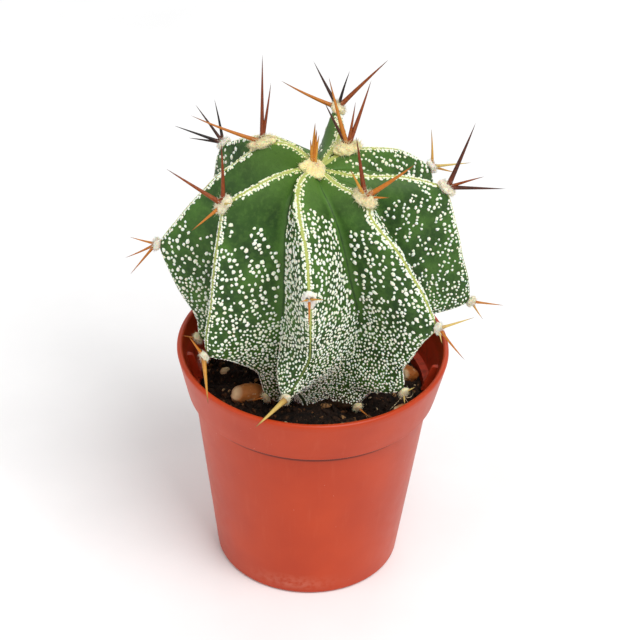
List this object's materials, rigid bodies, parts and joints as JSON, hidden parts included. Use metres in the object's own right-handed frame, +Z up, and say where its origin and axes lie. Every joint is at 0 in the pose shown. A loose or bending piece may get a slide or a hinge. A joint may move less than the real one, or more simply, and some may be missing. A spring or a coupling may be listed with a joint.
{
  "type": "potted monks hood cactus",
  "caption": "Young globular star-ribbed cactus with woolly areoles and stiff spines, planted in a tapered round plastic pot with a collar.",
  "frame": {"origin": "centre of the pot's flat underside", "axes": "+Z up, -Y towards the front of the plant, +X to its right"},
  "size_m": [0.0759, 0.0688, 0.1107],
  "materials": {
    "pot_plastic": "semi-matt moulded polypropylene, terracotta orange",
    "potting_mix": "dark moist peat with fine grit",
    "gravel": "tan and brown water-worn stones",
    "cactus_skin": "waxy green skin with cream felt flecks",
    "areole": "cream wool; stiff spines from orange-brown to near black"
  },
  "bodies": {
    "root": {"pot": "pot_plastic", "potting_mix": "potting_mix", "stone_1": "gravel", "stone_2": "gravel", "stone_3": "gravel", "stone_4": "gravel", "stone_5": "gravel", "stone_6": "gravel", "stone_7": "gravel", "stone_8": "gravel", "stone_9": "gravel", "cactus_body": "cactus_skin", "areole_front_1": "areole", "areole_back_right_1": "areole", "areole_left_1": "areole", "areole_front_right_1": "areole", "areole_back_1": "areole", "areole_front_left_1": "areole", "areole_right_1": "areole", "areole_back_left_1": "areole", "areole_front_2": "areole", "areole_back_right_2": "areole", "areole_left_2": "areole", "areole_front_right_2": "areole", "areole_back_2": "areole", "areole_front_left_2": "areole", "areole_right_2": "areole", "areole_back_left_2": "areole", "areole_front_3": "areole", "areole_back_right_3": "areole", "areole_left_3": "areole", "areole_front_right_3": "areole", "areole_back_3": "areole", "areole_front_left_3": "areole", "areole_front_right_4": "areole"}
  },
  "joints": []
}
